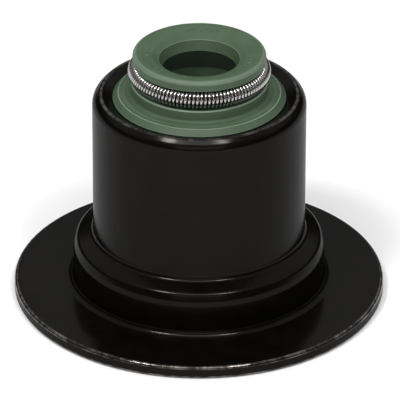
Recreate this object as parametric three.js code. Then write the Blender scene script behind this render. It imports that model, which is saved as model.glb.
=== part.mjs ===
// Valve stem seal with a spring-seat flange: a deep-drawn steel shell, a moulded rubber seal and a garter spring.
// Millimetres, +Z up along the valve stem, origin at the centre of the flange's underside.

import * as THREE from "three";

// Sheet steel shell
const SHEET = 1.0;
const FLANGE_RADIUS = 14.0;
const FLANGE_EDGE = 0.16;
const FOOT_FILLET = 0.55;
const COLLAR_RADIUS = 9.5;
const COLLAR_STRAIGHT = 3.75;
const COLLAR_HEIGHT = 4.45;
const COLLAR_TAPER = 0.26;
const COLLAR_BEND = 1.6;
const COLLAR_EDGE = 0.45;
const LEDGE_SLOPE = THREE.MathUtils.degToRad(23);
const BODY_RADIUS = 8.0;
const BODY_FOOT_FILLET = 0.45;
const SHOULDER_HEIGHT = 16.0;
const SHOULDER_BEND = 1.55;
const CROWN_HEIGHT = 16.6;
const CROWN_RADIUS = 7.4;
const CROWN_BEND = 0.3;
const DISH_SLOPE = THREE.MathUtils.degToRad(27);
const HOLE_RADIUS = 5.4;
const HOLE_EDGE = 0.12;
const INNER_BEND = 0.3;
const STEP_BEND = 1.0;

// Rubber seal
const HEIGHT = 19.9;
const HEAD_RADIUS = 4.97;
const HEAD_THICKNESS = 0.9;
const HEAD_EDGE = 0.4;
const FACE_RADIUS = 4.36;
const FACE_SLOPE = THREE.MathUtils.degToRad(16);
const RIM_RADIUS = 3.5;
const HEAD_UNDER_EDGE = 0.08;
const RIM_SLOPE = THREE.MathUtils.degToRad(30);
const MOUTH_RADIUS = 3.02;
const MOUTH_EDGE = 0.08;
const LIP_RADIUS = 2.75;
const LIP_DEPTH = 1.3;
const LIP_EDGE = 0.06;
const FLARE_SLOPE = THREE.MathUtils.degToRad(27);
const PASSAGE_RADIUS = 3.7;
const NECK_RADIUS = 5.12;
const NECK_EDGE = 0.12;
const NECK_FILLET = 0.45;
const RING_RADIUS = 6.47;
const RING_HEIGHT = 0.4;
const RING_BEVEL = 0.4;
const RING_LAND = 0.08;
const RING_EDGE = 0.12;
const LINING_WALL = 0.87;
const LINING_START = 5.2;
const LINING_EDGE = 0.3;
const STOP_DEPTH = 0.9;
const RIB_COUNT = 4;
const RIB_HEIGHT = 0.35;
const RIB_WIDTH = 0.3;
const RIB_FOOT = 1.2;
const RIB_END_SPACE = 1.3;

// Garter spring
const COIL_DIAMETER = 1.36;
const COIL_RING_RADIUS = 4.65;
const COIL_DEPTH = 1.63;
const WIRE = 0.21;
const TURN_GAP = 0.022;

// Clearances between the pieces
const BOND_CLEARANCE = 0.03;
const SPRING_CLEARANCE = 0.04;

// Fineness of the facets
const FACETS = 40;
const CHORD_ERROR = 0.02;
const STEPS_PER_TURN = 6;
const WIRE_SIDES = 4;

// Height of the dished top at a radius, on its upper face or a given distance below it.
function dishHeight(radius, below = 0) {
  return CROWN_HEIGHT - (CROWN_RADIUS - radius) * Math.tan(DISH_SLOPE) - below / Math.cos(DISH_SLOPE);
}

// Height of the ledge on the collar at a radius, on its upper face or a given distance below it.
function ledgeHeight(radius, below = 0) {
  const rise = (COLLAR_RADIUS - COLLAR_TAPER - radius) * Math.tan(LEDGE_SLOPE);
  return COLLAR_HEIGHT + rise - below / Math.cos(LEDGE_SLOPE);
}

// Points of an arc that stay within the chord error, both ends included.
function arc(centre, radius, start, turn) {
  const step = 2 * Math.acos(Math.max(0, 1 - CHORD_ERROR / radius));
  const count = Math.max(2, Math.ceil(Math.abs(turn) / step));
  const points = [];
  for (let i = 0; i <= count; i++) {
    const angle = start + (turn * i) / count;
    points.push(new THREE.Vector2(centre.x + radius * Math.cos(angle), centre.y + radius * Math.sin(angle)));
  }
  return points;
}

// One corner of an outline as an arc between its two straight sides, limited by the sides' lengths.
function bend(before, corner, after) {
  const at = new THREE.Vector2(corner[0], corner[1]);
  const back = new THREE.Vector2(before[0], before[1]).sub(at);
  const ahead = new THREE.Vector2(after[0], after[1]).sub(at);
  const room = 0.49 * Math.min(back.length(), ahead.length());
  back.normalize();
  ahead.normalize();
  const half = Math.acos(THREE.MathUtils.clamp(back.dot(ahead), -1, 1)) / 2;
  const radius = Math.min(corner[2] ?? 0, room * Math.tan(half));
  if (radius < 0.01) return [at];
  const bisector = back.clone().add(ahead).normalize();
  const centre = at.clone().addScaledVector(bisector, radius / Math.sin(half));
  const first = at.clone().addScaledVector(back, radius / Math.tan(half)).sub(centre);
  const turn = (Math.PI - 2 * half) * Math.sign(first.cross(bisector.clone().negate()));
  return arc(centre, radius, first.angle(), turn);
}

// A ring turned about the stem axis from corners given as [radius, height, bend], anticlockwise.
function turned(corners) {
  const outline = corners.flatMap((corner, i) => {
    const before = corners[(i + corners.length - 1) % corners.length];
    return bend(before, corner, corners[(i + 1) % corners.length]);
  });
  outline.push(outline[0].clone());
  return new THREE.LatheGeometry(outline, FACETS).rotateX(Math.PI / 2);
}

// The flange, collar and body's outer face, then the inner face one sheet further in.
function steelShell() {
  const bore = BODY_RADIUS - SHEET;
  const collarBore = COLLAR_RADIUS - SHEET;
  const outer = [
    [FLANGE_RADIUS, 0, FLANGE_EDGE],
    [FLANGE_RADIUS, SHEET, FLANGE_EDGE],
    [COLLAR_RADIUS, SHEET, FOOT_FILLET],
    [COLLAR_RADIUS, COLLAR_STRAIGHT, COLLAR_BEND],
    [COLLAR_RADIUS - COLLAR_TAPER, COLLAR_HEIGHT, COLLAR_EDGE],
    [BODY_RADIUS, ledgeHeight(BODY_RADIUS), BODY_FOOT_FILLET],
    [BODY_RADIUS, SHOULDER_HEIGHT, SHOULDER_BEND],
    [CROWN_RADIUS, CROWN_HEIGHT, CROWN_BEND],
    [HOLE_RADIUS, dishHeight(HOLE_RADIUS), HOLE_EDGE],
  ];
  const inner = [
    [HOLE_RADIUS, dishHeight(HOLE_RADIUS, SHEET), HOLE_EDGE],
    [bore, dishHeight(bore, SHEET), INNER_BEND],
    [bore, ledgeHeight(bore, SHEET), STEP_BEND],
    [collarBore, ledgeHeight(collarBore, SHEET), INNER_BEND],
    [collarBore, 0, FOOT_FILLET + SHEET],
  ];
  return turned([...outer, ...inner]);
}

// Ribs round the lining's bore that grip the valve guide, from the lowest to the highest.
function gripRibs(boreRadius, stop) {
  const low = LINING_START + RIB_END_SPACE;
  const pitch = (stop - RIB_END_SPACE - low) / (RIB_COUNT - 1);
  const corners = [];
  for (let i = 0; i < RIB_COUNT; i++) {
    const middle = low + i * pitch;
    corners.push(
      [boreRadius, middle - RIB_FOOT / 2],
      [boreRadius - RIB_HEIGHT, middle - RIB_WIDTH / 2, RIB_WIDTH / 2],
      [boreRadius - RIB_HEIGHT, middle + RIB_WIDTH / 2, RIB_WIDTH / 2],
      [boreRadius, middle + RIB_FOOT / 2],
    );
  }
  return corners;
}

// The groove that holds the garter spring, as an arc open to the outside, from its top to its foot.
function springGroove() {
  const centre = { x: COIL_RING_RADIUS, y: HEIGHT - COIL_DEPTH };
  const radius = COIL_DIAMETER / 2 + SPRING_CLEARANCE;
  return arc(centre, radius, THREE.MathUtils.degToRad(135), THREE.MathUtils.degToRad(135)).map((p) => [p.x, p.y]);
}

// Head, lip and neck above the shell, base ring on its dished top, and the lining inside it.
function rubberSeal() {
  const shellBore = BODY_RADIUS - SHEET - BOND_CLEARANCE;
  const liningBore = BODY_RADIUS - SHEET - LINING_WALL;
  const neckHole = HOLE_RADIUS - BOND_CLEARANCE;
  const stop = dishHeight(HOLE_RADIUS, SHEET) - STOP_DEPTH;
  const lipHeight = HEIGHT - LIP_DEPTH;
  const flare = (PASSAGE_RADIUS - LIP_RADIUS) / Math.tan(FLARE_SLOPE);
  const seat = dishHeight(RING_RADIUS, -BOND_CLEARANCE);
  const ringTop = seat + RING_LAND + RING_HEIGHT;
  const headUnder = HEIGHT - HEAD_THICKNESS;
  const rimHeight = HEIGHT - (FACE_RADIUS - RIM_RADIUS) * Math.tan(FACE_SLOPE);
  const mouthHeight = rimHeight - (RIM_RADIUS - MOUTH_RADIUS) * Math.tan(RIM_SLOPE);
  const groove = springGroove();
  const neckTop = groove[groove.length - 1][1];
  const lining = [
    [liningBore + LINING_EDGE, LINING_START, LINING_EDGE / 2],
    [shellBore, LINING_START],
    [shellBore, dishHeight(shellBore, SHEET + BOND_CLEARANCE), INNER_BEND + BOND_CLEARANCE],
    [neckHole, dishHeight(neckHole, SHEET + BOND_CLEARANCE)],
  ];
  const ringAndNeck = [
    [neckHole, dishHeight(neckHole, -BOND_CLEARANCE)],
    [RING_RADIUS, seat],
    [RING_RADIUS, seat + RING_LAND, RING_LAND / 2],
    [RING_RADIUS - RING_BEVEL, ringTop, RING_EDGE],
    [NECK_RADIUS, ringTop, NECK_FILLET],
    [NECK_RADIUS, neckTop, NECK_EDGE],
  ];
  const head = [
    [groove[0][0], headUnder - HEAD_UNDER_EDGE, HEAD_UNDER_EDGE],
    [HEAD_RADIUS, headUnder, HEAD_UNDER_EDGE],
    [HEAD_RADIUS, HEIGHT, HEAD_EDGE],
    [FACE_RADIUS, HEIGHT, HEAD_EDGE],
    [RIM_RADIUS, rimHeight, HEAD_EDGE],
    [MOUTH_RADIUS, mouthHeight, MOUTH_EDGE],
    [LIP_RADIUS, lipHeight, LIP_EDGE],
  ];
  const bore = [
    [PASSAGE_RADIUS, lipHeight - flare, LINING_EDGE],
    [PASSAGE_RADIUS, stop, LINING_EDGE],
    [liningBore, stop, LINING_EDGE],
    ...gripRibs(liningBore, stop).reverse(),
    [liningBore, LINING_START + LINING_EDGE],
  ];
  return turned([...lining, ...ringAndNeck, ...groove.reverse(), ...head, ...bore]);
}

// A wire wound round a ring until it meets its own start. Each turn leans a little along the ring.
function garterSpring() {
  const coilRadius = (COIL_DIAMETER - WIRE) / 2;
  const innermost = COIL_RING_RADIUS - coilRadius;
  const turns = Math.floor((2 * Math.PI * innermost) / (WIRE + TURN_GAP));
  const steps = turns * STEPS_PER_TURN;
  const positions = [];
  const indices = [];
  for (let i = 0; i < steps; i++) {
    const around = (2 * Math.PI * i) / steps;
    const wound = turns * around;
    for (let k = 0; k < WIRE_SIDES; k++) {
      const side = (2 * Math.PI * (k + 0.5)) / WIRE_SIDES;
      const out = coilRadius + (WIRE / 2) * Math.cos(side);
      const along = (WIRE / 2) * Math.sin(side);
      const radius = COIL_RING_RADIUS + out * Math.cos(wound);
      positions.push(
        radius * Math.cos(around) - along * Math.sin(around),
        radius * Math.sin(around) + along * Math.cos(around),
        out * Math.sin(wound),
      );
      const next = ((i + 1) % steps) * WIRE_SIDES;
      const beside = (k + 1) % WIRE_SIDES;
      const [a, b, c, d] = [i * WIRE_SIDES + k, i * WIRE_SIDES + beside, next + beside, next + k];
      indices.push(a, b, c, a, c, d);
    }
  }
  const geometry = new THREE.BufferGeometry();
  geometry.setAttribute("position", new THREE.Float32BufferAttribute(positions, 3));
  geometry.setIndex(indices);
  return geometry;
}

function piece(name, geometry, colour, roughness, metalness) {
  const mesh = new THREE.Mesh(geometry, new THREE.MeshStandardMaterial({ color: colour, roughness, metalness }));
  mesh.name = name;
  return mesh;
}

const shell = piece("steel_shell", steelShell(), 0x2a2825, 0.3, 0.6);
const seal = piece("rubber_seal", rubberSeal(), 0x5c705c, 0.45, 0.0);
const spring = piece("garter_spring", garterSpring(), 0xc8c8ca, 0.25, 1.0);
spring.position.z = HEIGHT - COIL_DEPTH;

const valveStemSeal = new THREE.Group();
valveStemSeal.add(shell, seal, spring);

export default valveStemSeal;
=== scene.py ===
"""Looks of a valve stem seal: a black drawn steel shell, a green rubber lip seal and a bright garter spring.

Shell and rubber are outlines turned about the stem's axis, in millimetres. Each outline is a list of corners,
and every corner is rounded by an arc that touches both of its sides. The spring is a wire wound round a ring.
"""
import math

import bmesh
import bpy
import numpy as np
from mathutils import Matrix, Quaternion, Vector


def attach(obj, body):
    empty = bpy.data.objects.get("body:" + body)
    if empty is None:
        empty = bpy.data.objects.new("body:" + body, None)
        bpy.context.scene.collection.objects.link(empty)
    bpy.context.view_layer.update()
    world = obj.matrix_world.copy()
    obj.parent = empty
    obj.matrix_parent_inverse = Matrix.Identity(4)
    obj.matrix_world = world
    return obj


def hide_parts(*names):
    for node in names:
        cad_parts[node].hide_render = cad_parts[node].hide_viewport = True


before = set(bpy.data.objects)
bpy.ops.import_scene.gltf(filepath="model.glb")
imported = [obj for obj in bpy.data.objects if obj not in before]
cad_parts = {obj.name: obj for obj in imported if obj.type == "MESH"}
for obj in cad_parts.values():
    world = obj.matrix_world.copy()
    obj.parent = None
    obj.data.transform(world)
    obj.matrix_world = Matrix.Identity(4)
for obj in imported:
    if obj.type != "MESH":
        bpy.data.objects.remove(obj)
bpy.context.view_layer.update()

MM = 0.001
PER_MM = 1 / MM
TURN = 2 * math.pi

# Steel shell, in millimetres
SHEET = 1.0
FLANGE_RADIUS = 14.0
FLANGE_EDGE = 0.24
FOOT_FILLET = 0.55
COLLAR_RADIUS = 9.5
COLLAR_STRAIGHT = 3.75
COLLAR_HEIGHT = 4.45
COLLAR_TAPER = 0.26
COLLAR_BEND = 1.6
COLLAR_EDGE = 0.45
LEDGE_SLOPE = math.radians(23)
BODY_RADIUS = 8.0
BODY_FOOT_FILLET = 0.45
SHOULDER_HEIGHT = 16.0
SHOULDER_BEND = 1.55
CROWN_HEIGHT = 16.6
CROWN_RADIUS = 7.4
CROWN_BEND = 0.3
DISH_SLOPE = math.radians(27)
HOLE_RADIUS = 5.4
HOLE_EDGE = 0.12
INNER_BEND = 0.3
STEP_BEND = 1.0

# Rubber seal, in millimetres
HEIGHT = 19.9
HEAD_RADIUS = 4.97
HEAD_THICKNESS = 0.78
HEAD_EDGE = 0.4
HEAD_CORNER = 0.3
HEAD_UNDER_EDGE = 0.08
FACE_RADIUS = 4.36
FACE_SLOPE = math.radians(16)
RIM_RADIUS = 3.5
RIM_SLOPE = math.radians(30)
MOUTH_RADIUS = 3.02
MOUTH_EDGE = 0.08
LIP_RADIUS = 2.75
LIP_DEPTH = 1.3
LIP_EDGE = 0.06
FLARE_SLOPE = math.radians(27)
PASSAGE_RADIUS = 3.7
NECK_RADIUS = 5.12
NECK_EDGE = 0.12
NECK_FILLET = 0.45
RING_RADIUS = 6.47
RING_HEIGHT = 0.4
RING_BEVEL = 0.4
RING_LAND = 0.08
RING_EDGE = 0.12
RIDGE_RADIUS = 5.66
GUTTER_RADIUS = 5.86
RIDGE_RISE = 0.035
RIDGE_BEND = 0.35
LINING_WALL = 0.87
LINING_START = 5.2
LINING_EDGE = 0.3
STOP_DEPTH = 0.9
RIB_COUNT = 4
RIB_HEIGHT = 0.35
RIB_WIDTH = 0.3
RIB_FOOT = 1.2
RIB_END_SPACE = 1.3

# Garter spring, in millimetres
COIL_DIAMETER = 1.46
COIL_RING_RADIUS = 4.6
COIL_DEPTH = 1.54
WIRE = 0.215
COIL_TURNS = 110

# Clearances, in millimetres
BOND_CLEARANCE = 0.03
SPRING_CLEARANCE = 0.04
GROOVE_SWEEP = math.radians(195)

# Fineness of the meshes
FACETS = 240
CHORD_ERROR = 0.0012
COIL_STEPS = 18
WIRE_SIDES = 8
MARK_RINGS = 9
MARK_SIDES = 14

# Raised moulding marks on the head's slope: azimuth from the front in degrees, radius, length and turn
MARKS = [
    (-168, 3.95, 0.42, 10), (-174, 4.05, 0.30, 80), (178, 3.90, 0.38, 95), (172, 4.05, 0.30, 20),
    (166, 3.92, 0.40, 75), (160, 4.02, 0.26, 0), (-100, 3.95, 0.34, 15), (-92, 4.05, 0.24, 85),
    (-84, 3.95, 0.30, 40), (-52, 4.00, 0.26, 70), (-45, 3.92, 0.20, 10), (-22, 4.00, 0.34, 85),
    (-15, 3.94, 0.30, 5), (-9, 4.02, 0.22, 60), (58, 3.95, 0.44, 55), (66, 4.02, 0.40, 110),
    (73, 3.95, 0.34, 60),
]
MARK_WIDTH = 0.11
MARK_RISE = 0.08
# How far the marks go towards the rubber's paler green: a painted highlight
MARK_HIGHLIGHT_PAINT = 0.35

# Outward bends between these two, as one over their radius in millimetres, go from plain to fully worn on the
# coat, and to the full painted highlight on the rubber
SOFT_BEND = 2.6
TIGHT_BEND = 4.0

# Black coat: gloss seen straight on, how fast it falls towards a low angle, and gloss of a worn bend
COAT_GLOSS = 0.15
COAT_FALL = 1.5
WORN_GLOSS = 2.2

# Rubber: how far a tight bend goes towards the paler green, a painted highlight
HIGHLIGHT_PAINT_SHARE = 0.4

# Floor, in metres, just below the part so that the two faces don't share a plane
FLOOR_HALF = 0.6
FLOOR_DROP = 0.02 * MM
FLOOR_LIFT = 0.1

# Room: heights as the sine of the elevation, depths as the share towards the back
DIM_HEIGHT = 0.3
BRIGHT_HEIGHT = 0.5
DIM_LIGHT = 0.03
BRIGHT_LIGHT = 0.95
FRONT_DEPTH = -0.45
FRONT_SHARE = 0.15
BACK_SHARE = 0.72
BACKDROP = 0.95

# Softboxes: azimuth and elevation in degrees, width and height in metres, radiance
LAMP_DISTANCE = 0.4
SOFTBOXES = {
    "softbox_left": (-44, 57, 0.065, 0.06, 42.0),
    "softbox_middle": (-5, 60, 0.34, 0.12, 4.0),
    "softbox_right": (34, 58, 0.055, 0.06, 30.0),
    "softbox_front": (0, 24, 0.35, 0.16, 1.0),
}

# Camera: where the photograph was taken from, in metres
VIEW_ELEVATION = math.radians(28.65)
VIEW_DISTANCE = 0.376
VIEW_HEIGHT = 0.00927
VIEW_ROLL = math.radians(0.14)
LOOK_AT = (0.00007, 0, 0.00735)
LENS = 450


def dish_height(radius, below=0.0):
    """Height of the dished top at a radius, on its upper face or a given distance below it."""
    return CROWN_HEIGHT - (CROWN_RADIUS - radius) * math.tan(DISH_SLOPE) - below / math.cos(DISH_SLOPE)


def ledge_height(radius, below=0.0):
    """Height of the ledge on the collar at a radius, on its upper face or a given distance below it."""
    rise = (COLLAR_RADIUS - COLLAR_TAPER - radius) * math.tan(LEDGE_SLOPE)
    return COLLAR_HEIGHT + rise - below / math.cos(LEDGE_SLOPE)


def arc(centre, radius, start, turn):
    """Points of an arc that stay within the chord error, both ends included."""
    step = 2 * math.acos(max(0.0, 1 - CHORD_ERROR / radius))
    count = max(3, math.ceil(abs(turn) / step))
    angles = start + turn * np.linspace(0, 1, count + 1)
    return np.stack([centre[0] + radius * np.cos(angles), centre[1] + radius * np.sin(angles)], 1)


def bend(before, corner, after):
    """One corner of an outline as an arc between its two sides, limited by the sides' lengths."""
    at = np.array(corner[:2])
    back, ahead = np.array(before[:2]) - at, np.array(after[:2]) - at
    room = 0.49 * min(np.linalg.norm(back), np.linalg.norm(ahead))
    back, ahead = back / np.linalg.norm(back), ahead / np.linalg.norm(ahead)
    half = math.acos(float(np.clip(back @ ahead, -1, 1))) / 2
    wanted = corner[2] if len(corner) > 2 else 0.0
    radius = min(wanted, room * math.tan(half))
    if radius < 0.01:
        return at[None]
    bisector = (back + ahead) / np.linalg.norm(back + ahead)
    centre = at + bisector * radius / math.sin(half)
    first = at + back * radius / math.tan(half) - centre
    side = np.sign(first[1] * bisector[0] - first[0] * bisector[1])
    return arc(centre, radius, math.atan2(first[1], first[0]), (math.pi - 2 * half) * side)


def rounded(corners):
    """A closed outline from corners given as (radius, height, bend), anticlockwise."""
    count = len(corners)
    return np.concatenate([bend(corners[i - 1], corners[i], corners[(i + 1) % count]) for i in range(count)])


def shell_outline():
    """Flange, collar, ledge, body, shoulder and dished top outside, then one sheet further in back down."""
    bore = BODY_RADIUS - SHEET
    collar_bore = COLLAR_RADIUS - SHEET
    return rounded([
        (FLANGE_RADIUS, 0, FLANGE_EDGE),
        (FLANGE_RADIUS, SHEET, FLANGE_EDGE),
        (COLLAR_RADIUS, SHEET, FOOT_FILLET),
        (COLLAR_RADIUS, COLLAR_STRAIGHT, COLLAR_BEND),
        (COLLAR_RADIUS - COLLAR_TAPER, COLLAR_HEIGHT, COLLAR_EDGE),
        (BODY_RADIUS, ledge_height(BODY_RADIUS), BODY_FOOT_FILLET),
        (BODY_RADIUS, SHOULDER_HEIGHT, SHOULDER_BEND),
        (CROWN_RADIUS, CROWN_HEIGHT, CROWN_BEND),
        (HOLE_RADIUS, dish_height(HOLE_RADIUS), HOLE_EDGE),
        (HOLE_RADIUS, dish_height(HOLE_RADIUS, SHEET), HOLE_EDGE),
        (bore, dish_height(bore, SHEET), INNER_BEND),
        (bore, ledge_height(bore, SHEET), STEP_BEND),
        (collar_bore, ledge_height(collar_bore, SHEET), INNER_BEND),
        (collar_bore, 0, FOOT_FILLET + SHEET),
    ])


def grip_ribs(bore, stop):
    """Ribs round the lining's bore that grip the valve guide, from the highest to the lowest."""
    low = LINING_START + RIB_END_SPACE
    pitch = (stop - RIB_END_SPACE - low) / (RIB_COUNT - 1)
    corners = []
    for i in reversed(range(RIB_COUNT)):
        middle = low + i * pitch
        corners += [
            (bore, middle + RIB_FOOT / 2, RIB_WIDTH / 2),
            (bore - RIB_HEIGHT, middle + RIB_WIDTH / 2, RIB_WIDTH / 2),
            (bore - RIB_HEIGHT, middle - RIB_WIDTH / 2, RIB_WIDTH / 2),
            (bore, middle - RIB_FOOT / 2, RIB_WIDTH / 2),
        ]
    return corners


def rubber_outline():
    """Lining inside the shell, base ring, neck, spring groove and head, then lip, passage and ribbed bore."""
    shell_bore = BODY_RADIUS - SHEET - BOND_CLEARANCE
    lining_bore = BODY_RADIUS - SHEET - LINING_WALL
    neck_hole = HOLE_RADIUS - BOND_CLEARANCE
    stop = dish_height(HOLE_RADIUS, SHEET) - STOP_DEPTH
    lip_height = HEIGHT - LIP_DEPTH
    flare = (PASSAGE_RADIUS - LIP_RADIUS) / math.tan(FLARE_SLOPE)
    seat = dish_height(RING_RADIUS, -BOND_CLEARANCE)
    ring_top = seat + RING_LAND + RING_HEIGHT
    head_under = HEIGHT - HEAD_THICKNESS
    rim_height = HEIGHT - (FACE_RADIUS - RIM_RADIUS) * math.tan(FACE_SLOPE)
    mouth_height = rim_height - (RIM_RADIUS - MOUTH_RADIUS) * math.tan(RIM_SLOPE)
    groove_radius = COIL_DIAMETER / 2 + SPRING_CLEARANCE
    groove_centre = (COIL_RING_RADIUS, HEIGHT - COIL_DEPTH)
    groove = arc(groove_centre, groove_radius, math.radians(270), -GROOVE_SWEEP)
    return rounded([
        (lining_bore + LINING_EDGE, LINING_START, LINING_EDGE / 2),
        (shell_bore, LINING_START, RING_LAND / 2),
        (shell_bore, dish_height(shell_bore, SHEET + BOND_CLEARANCE), INNER_BEND + BOND_CLEARANCE),
        (neck_hole, dish_height(neck_hole, SHEET + BOND_CLEARANCE), RING_LAND / 2),
        (neck_hole, dish_height(neck_hole, -BOND_CLEARANCE), RING_LAND / 2),
        (RING_RADIUS, seat, RING_LAND / 2),
        (RING_RADIUS, seat + RING_LAND, RING_LAND / 2),
        (RING_RADIUS - RING_BEVEL, ring_top, RING_EDGE),
        (GUTTER_RADIUS, ring_top - RIDGE_RISE, RIDGE_BEND),
        (RIDGE_RADIUS, ring_top + RIDGE_RISE, RIDGE_BEND),
        (NECK_RADIUS, ring_top, NECK_FILLET),
        (NECK_RADIUS, groove[0][1], NECK_EDGE),
        *[tuple(point) for point in groove],
        (HEAD_RADIUS, head_under, HEAD_UNDER_EDGE),
        (HEAD_RADIUS, HEIGHT, HEAD_CORNER),
        (FACE_RADIUS, HEIGHT, HEAD_EDGE),
        (RIM_RADIUS, rim_height, HEAD_EDGE),
        (MOUTH_RADIUS, mouth_height, MOUTH_EDGE),
        (LIP_RADIUS, lip_height, LIP_EDGE),
        (PASSAGE_RADIUS, lip_height - flare, LINING_EDGE),
        (PASSAGE_RADIUS, stop, LINING_EDGE),
        (lining_bore, stop, LINING_EDGE),
        *grip_ribs(lining_bore, stop),
        (lining_bore, LINING_START + LINING_EDGE, LINING_EDGE / 2),
    ])


def put(name, data):
    """A new object for a mesh, a lamp or a camera, linked into the scene."""
    placed = bpy.data.objects.new(name, data)
    bpy.context.collection.objects.link(placed)
    return placed


def mark_edges(mesh, values):
    """Writes the attribute "edge": on the coat, how worn each point is; on the rubber, how far it goes
    towards the paler green of a painted highlight.
    """
    mesh.attributes.new("edge", "FLOAT", "POINT").data.foreach_set("value", values)


def grid_mesh(name, points, normals=None, bends=None):
    """A closed mesh from a grid of points, in millimetres, that meets itself both ways."""
    rows, columns = points.shape[:2]
    index = np.arange(rows * columns).reshape(rows, columns)
    below, right = np.roll(index, -1, 0), np.roll(index, -1, 1)
    faces = np.stack([index, right, np.roll(below, -1, 1), below], 2).reshape(-1, 4)
    mesh = bpy.data.meshes.new(name)
    mesh.from_pydata((points.reshape(-1, 3) * MM).tolist(), [], faces.tolist())
    mesh.shade_smooth()
    if normals is not None:
        mesh.normals_split_custom_set_from_vertices(normals.reshape(-1, 3).tolist())
    if bends is not None:
        mark_edges(mesh, np.repeat(bends, columns))
    return put(name, mesh)


def turned(name, outline):
    """An outline turned about the stem's axis. Longer sides weigh more in the normals, so flats stay flat.

    The attribute "edge" is 1 on tight outward bends and 0 elsewhere, from the outline's turn over its length.
    """
    after = np.roll(outline, -1, 0) - outline
    before = np.roll(after, 1, 0)
    lengths = np.linalg.norm(after, axis=1)
    slope = after * lengths[:, None] + np.roll(after * lengths[:, None], 1, 0)
    slope /= np.linalg.norm(slope, axis=1)[:, None]
    turn = np.arctan2(before[:, 0] * after[:, 1] - before[:, 1] * after[:, 0], (before * after).sum(1))
    curvature = turn / np.maximum(lengths, np.roll(lengths, 1))
    bends = np.clip((curvature - SOFT_BEND) / (TIGHT_BEND - SOFT_BEND), 0, 1)
    angle = TURN * np.arange(FACETS) / FACETS
    out = np.stack([np.cos(angle), np.sin(angle), np.zeros(FACETS)], 1)
    up = np.array([0.0, 0.0, 1.0])
    points = outline[:, None, :1] * out + outline[:, None, 1:] * up
    normals = slope[:, None, 1:] * out - slope[:, None, :1] * up
    return grid_mesh(name, points, normals, bends)


def wound_spring(name):
    """A wire wound round a ring until it meets its own start."""
    coil = (COIL_DIAMETER - WIRE) / 2
    steps = COIL_TURNS * COIL_STEPS
    around = TURN * np.arange(steps) / steps
    wound = COIL_TURNS * around
    side = TURN * np.arange(WIRE_SIDES) / WIRE_SIDES
    out = coil + WIRE / 2 * np.cos(side)[None]
    along = np.broadcast_to(WIRE / 2 * np.sin(side)[None], (steps, WIRE_SIDES))
    radius = COIL_RING_RADIUS + out * np.cos(wound)[:, None]
    height = HEIGHT - COIL_DEPTH + out * np.sin(wound)[:, None]
    cos, sin = np.cos(around)[:, None], np.sin(around)[:, None]
    return grid_mesh(name, np.stack([radius * cos - along * sin, radius * sin + along * cos, height], 2))


def join_poles(mesh):
    """Joins the points that lie on each other at the domes' poles, which leaves no face without area."""
    shape = bmesh.new()
    shape.from_mesh(mesh)
    bmesh.ops.remove_doubles(shape, verts=shape.verts, dist=1e-4 * MM)
    shape.to_mesh(mesh)
    shape.free()


def raised_marks(name):
    """Low, long domes on the head's slope, as half-sunk ellipsoids, all in one mesh."""
    lift = np.linspace(-math.pi / 2, math.pi / 2, MARK_RINGS)[:, None]
    spin = TURN * np.arange(MARK_SIDES)[None] / MARK_SIDES
    ball = np.stack([np.cos(lift) * np.cos(spin), np.cos(lift) * np.sin(spin), np.sin(lift) + 0 * spin], 2)
    ball = ball.reshape(-1, 3)
    index = np.arange(len(ball)).reshape(MARK_RINGS, MARK_SIDES)
    around = np.roll(index, -1, 1)
    quads = np.stack([index[:-1], around[:-1], around[1:], index[1:]], 2).reshape(-1, 4)
    points, faces = [], []
    for i, (azimuth, radius, length, turn) in enumerate(MARKS):
        shaped = ball * (length / 2, MARK_WIDTH / 2, MARK_RISE)
        flat = Matrix.Rotation(math.radians(turn), 3, "Z")
        tilt = Matrix.Rotation(-FACE_SLOPE, 3, "X")
        place = Matrix.Rotation(math.radians(azimuth), 3, "Z")
        height = HEIGHT - (FACE_RADIUS - radius) * math.tan(FACE_SLOPE)
        moved = shaped @ np.array(tilt @ flat).T + (0, -radius, height)
        points.append(moved @ np.array(place).T)
        faces.append(quads + i * len(ball))
    mesh = bpy.data.meshes.new(name)
    mesh.from_pydata((np.concatenate(points) * MM).tolist(), [], np.concatenate(faces).tolist())
    join_poles(mesh)
    mesh.shade_smooth()
    # The marks take part of the paler green, a painted highlight
    mark_edges(mesh, np.full(len(mesh.vertices), MARK_HIGHLIGHT_PAINT))
    return put(name, mesh)


def linear(colour):
    """A colour written as hex sRGB, as the shader's linear RGBA."""
    parts = [int(colour[i:i + 2], 16) / 255 for i in (0, 2, 4)]
    return [p / 12.92 if p <= 0.04045 else ((p + 0.055) / 1.055) ** 2.4 for p in parts] + [1.0]


def add(tree, kind, values=None, **settings):
    """One node, with its settings, and its inputs given as values or as other nodes' outputs."""
    node = tree.nodes.new(kind)
    for key, value in settings.items():
        setattr(node, key, value)
    for key, value in (values or {}).items():
        if isinstance(value, bpy.types.NodeSocket):
            tree.links.new(value, node.inputs[key])
        else:
            node.inputs[key].default_value = value
    return node


def material(name):
    """A new material, its tree, and its Principled shader."""
    made = bpy.data.materials.new(name)
    made.use_nodes = True
    return made, made.node_tree, made.node_tree.nodes["Principled BSDF"]


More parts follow.
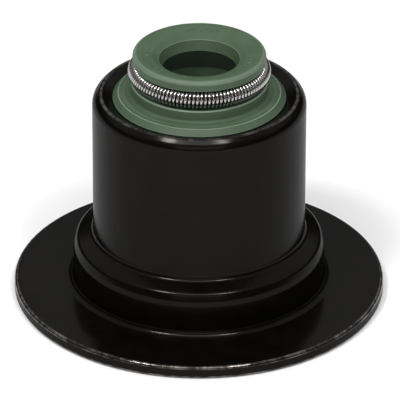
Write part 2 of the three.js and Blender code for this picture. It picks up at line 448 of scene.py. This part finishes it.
def black_coated_steel():
    """Black-coated steel: deep-drawn sheet with a thin, smooth black coat.

    The eye sees a near-black with a faint brown mottle, in patches of 1.4 mm. It mirrors little, less so at
    a low angle, and more in 0.6 mm specks where tight bends are worn. Drawing leaves 0.7 mm waves.
    """
    made, tree, shader = material("black_coated_steel")
    place = add(tree, "ShaderNodeTexCoord").outputs["Object"]
    edge = add(tree, "ShaderNodeAttribute", attribute_name="edge").outputs["Fac"]
    mottle = add(tree, "ShaderNodeTexNoise", {"Vector": place, "Scale": 0.7 * PER_MM, "Detail": 4.0})
    shade = add(tree, "ShaderNodeValToRGB", {"Fac": mottle.outputs["Fac"]})
    shade.color_ramp.elements[0].position = 0.35
    shade.color_ramp.elements[0].color = linear("070605")
    shade.color_ramp.elements[1].position = 0.7
    shade.color_ramp.elements[1].color = linear("0c0a08")
    facing = add(tree, "ShaderNodeLayerWeight", {"Blend": 0.5}).outputs["Facing"]
    straight = add(tree, "ShaderNodeMath", {0: 1.0, 1: facing}, operation="SUBTRACT").outputs[0]
    eased = add(tree, "ShaderNodeMath", {0: straight, 1: COAT_FALL}, operation="POWER").outputs[0]
    gloss = add(tree, "ShaderNodeMath", {0: eased, 1: COAT_GLOSS}, operation="MULTIPLY").outputs[0]
    specks = add(tree, "ShaderNodeTexNoise", {"Vector": place, "Scale": 1.8 * PER_MM, "Detail": 3.0})
    worn = add(tree, "ShaderNodeMapRange", {
        "Value": specks.outputs["Fac"], "From Min": 0.42, "From Max": 0.68, "To Min": 0.12, "To Max": 1.0,
    }).outputs[0]
    bared = add(tree, "ShaderNodeMath", {0: edge, 1: worn}, operation="MULTIPLY").outputs[0]
    rubbed = add(tree, "ShaderNodeMath", {0: bared, 1: WORN_GLOSS, 2: gloss}, operation="MULTIPLY_ADD")
    wave = add(tree, "ShaderNodeTexNoise", {"Vector": place, "Scale": 1.5 * PER_MM, "Detail": 2.0})
    rise = {"Height": wave.outputs["Fac"], "Strength": 0.5, "Distance": 0.02 * MM}
    bump = add(tree, "ShaderNodeBump", rise)
    tree.links.new(shade.outputs["Color"], shader.inputs["Base Color"])
    tree.links.new(rubbed.outputs[0], shader.inputs["Specular IOR Level"])
    tree.links.new(bump.outputs["Normal"], shader.inputs["Normal"])
    shader.inputs["Roughness"].default_value = 0.18
    shader.inputs["Specular Tint"].default_value = linear("fff6ee")
    return made


def green_rubber():
    """Green synthetic rubber, moulded in a polished tool.

    The eye sees a satin grey green, cloudy over 2 mm. Tight bends and the raised marks are mixed towards a
    paler green, a painted highlight. The mould's own grain of about 0.02 mm is too fine to show, so it is
    drawn coarser, at 0.11 mm.
    """
    made, tree, shader = material("green_rubber")
    place = add(tree, "ShaderNodeTexCoord").outputs["Object"]
    cloud = add(tree, "ShaderNodeTexNoise", {"Vector": place, "Scale": 0.5 * PER_MM, "Detail": 3.0})
    shade = add(tree, "ShaderNodeValToRGB", {"Fac": cloud.outputs["Fac"]})
    shade.color_ramp.elements[0].position = 0.3
    shade.color_ramp.elements[0].color = linear("43573f")
    shade.color_ramp.elements[1].position = 0.75
    shade.color_ramp.elements[1].color = linear("4b604a")
    edge = add(tree, "ShaderNodeAttribute", attribute_name="edge").outputs["Fac"]
    # Painted highlight: tight bends and the raised marks are mixed towards a paler green
    painted_highlight = add(tree, "ShaderNodeMath", {0: edge, 1: HIGHLIGHT_PAINT_SHARE}, operation="MULTIPLY").outputs[0]
    colours = {"Factor": painted_highlight, 6: shade.outputs["Color"], 7: linear("a0b4a1")}
    mixed = add(tree, "ShaderNodeMix", colours, data_type="RGBA")
    grain = add(tree, "ShaderNodeTexNoise", {"Vector": place, "Scale": 9 * PER_MM, "Detail": 2.0})
    rise = {"Height": grain.outputs["Fac"], "Strength": 0.2, "Distance": 0.01 * MM}
    bump = add(tree, "ShaderNodeBump", rise)
    tree.links.new(mixed.outputs[2], shader.inputs["Base Color"])
    tree.links.new(bump.outputs["Normal"], shader.inputs["Normal"])
    shader.inputs["Roughness"].default_value = 0.5
    shader.inputs["Specular IOR Level"].default_value = 0.3
    return made


def spring_steel():
    """Spring steel wire, drawn bright and wound close: a grey mirror with small changes of shade."""
    made, tree, shader = material("bright_spring_steel")
    place = add(tree, "ShaderNodeTexCoord").outputs["Object"]
    drawn = add(tree, "ShaderNodeTexNoise", {"Vector": place, "Scale": 3 * PER_MM, "Detail": 2.0})
    shade = add(tree, "ShaderNodeValToRGB", {"Fac": drawn.outputs["Fac"]})
    shade.color_ramp.elements[0].color = linear("9a9896")
    shade.color_ramp.elements[1].color = linear("c2c0be")
    tree.links.new(shade.outputs["Color"], shader.inputs["Base Color"])
    shader.inputs["Metallic"].default_value = 1.0
    shader.inputs["Roughness"].default_value = 0.12
    return made


def pale_floor():
    """Matt white card. Its small lift is seen by the camera and by mirrored rays, and lights nothing else."""
    mesh = bpy.data.meshes.new("floor")
    corners = [(x * FLOOR_HALF, y * FLOOR_HALF, -FLOOR_DROP) for x, y in ((-1, -1), (1, -1), (1, 1), (-1, 1))]
    mesh.from_pydata(corners, [], [(0, 1, 2, 3)])
    floor = put("floor", mesh)
    made, tree, shader = material("pale_floor")
    path = add(tree, "ShaderNodeLightPath").outputs
    indirect = {0: path["Is Glossy Ray"], 1: path["Is Transmission Ray"]}
    mirrored = add(tree, "ShaderNodeMath", indirect, operation="MAXIMUM").outputs[0]
    seen = add(tree, "ShaderNodeMath", {0: path["Is Camera Ray"], 1: mirrored}, operation="MAXIMUM")
    lift = add(tree, "ShaderNodeMath", {0: seen.outputs[0], 1: FLOOR_LIFT}, operation="MULTIPLY")
    tree.links.new(lift.outputs[0], shader.inputs["Emission Strength"])
    shader.inputs["Emission Color"].default_value = linear("ffffff")
    shader.inputs["Base Color"].default_value = linear("f4f4f4")
    shader.inputs["Roughness"].default_value = 0.9
    shader.inputs["Specular IOR Level"].default_value = 0.0
    mesh.materials.append(made)


def softbox(name, azimuth, elevation, width, height, radiance):
    """A rectangular lamp that faces the part, at an azimuth and elevation in degrees."""
    lamp = bpy.data.lights.new(name, "AREA")
    lamp.shape = "RECTANGLE"
    lamp.size = width
    lamp.size_y = height
    lamp.energy = radiance * math.pi * width * height
    around, up = math.radians(azimuth), math.radians(elevation)
    direction = Vector((
        math.sin(around) * math.cos(up),
        -math.cos(around) * math.cos(up),
        math.sin(up),
    ))
    placed = put(name, lamp)
    placed.location = direction * LAMP_DISTANCE
    placed.rotation_mode = "QUATERNION"
    placed.rotation_quaternion = direction.to_track_quat("Z", "Y")


def studio():
    """A room that is dim low down and on the camera's side, bright overhead and behind, with softboxes."""
    world = bpy.data.worlds.new("studio")
    world.use_nodes = True
    tree = world.node_tree
    background = tree.nodes["Background"]
    direction = add(tree, "ShaderNodeTexCoord").outputs["Generated"]
    axes = add(tree, "ShaderNodeSeparateXYZ", {"Vector": direction})
    height = add(tree, "ShaderNodeMapRange", {
        "Value": axes.outputs["Z"], "From Min": DIM_HEIGHT, "From Max": BRIGHT_HEIGHT,
        "To Min": DIM_LIGHT, "To Max": BRIGHT_LIGHT,
    }, interpolation_type="SMOOTHSTEP").outputs[0]
    depth = add(tree, "ShaderNodeMapRange", {
        "Value": axes.outputs["Y"], "From Min": FRONT_DEPTH, "From Max": 0.0,
        "To Min": FRONT_SHARE, "To Max": BACK_SHARE,
    }).outputs[0]
    glow = add(tree, "ShaderNodeMath", {0: height, 1: depth}, operation="MULTIPLY").outputs[0]
    seen = add(tree, "ShaderNodeLightPath").outputs["Is Camera Ray"]
    strength = add(tree, "ShaderNodeMix", {"Factor": seen, "A": glow, "B": BACKDROP}).outputs["Result"]
    tree.links.new(strength, background.inputs["Strength"])
    background.inputs["Color"].default_value = linear("ffffff")
    bpy.context.scene.world = world
    for name, values in SOFTBOXES.items():
        softbox(name, *values)
    bpy.context.scene.view_settings.view_transform = "Standard"


def camera():
    """A long lens from the front, a little above the part, rolled by a fraction of a degree."""
    lens = bpy.data.cameras.new("camera")
    lens.lens = LENS
    lens.clip_start = 0.01
    placed = put("camera", lens)
    across, up = math.cos(VIEW_ELEVATION), math.sin(VIEW_ELEVATION)
    placed.location = (0, -VIEW_DISTANCE * across, VIEW_HEIGHT + VIEW_DISTANCE * up)
    aim = Vector(LOOK_AT) - placed.location
    placed.rotation_mode = "QUATERNION"
    placed.rotation_quaternion = aim.to_track_quat("-Z", "Y") @ Quaternion((0, 0, 1), VIEW_ROLL)
    bpy.context.scene.camera = placed


def dress(piece, made, node=None):
    """Gives a piece its material and its body, and hides the node that it stands for, if any."""
    piece.data.materials.append(made)
    if node:
        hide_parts(node)
    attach(piece, "root")


rubber = green_rubber()
dress(turned("drawn_shell", shell_outline()), black_coated_steel(), "steel_shell")
dress(turned("moulded_rubber", rubber_outline()), rubber, "rubber_seal")
dress(raised_marks("moulding_marks"), rubber)
dress(wound_spring("coiled_spring"), spring_steel(), "garter_spring")
pale_floor()
studio()
camera()
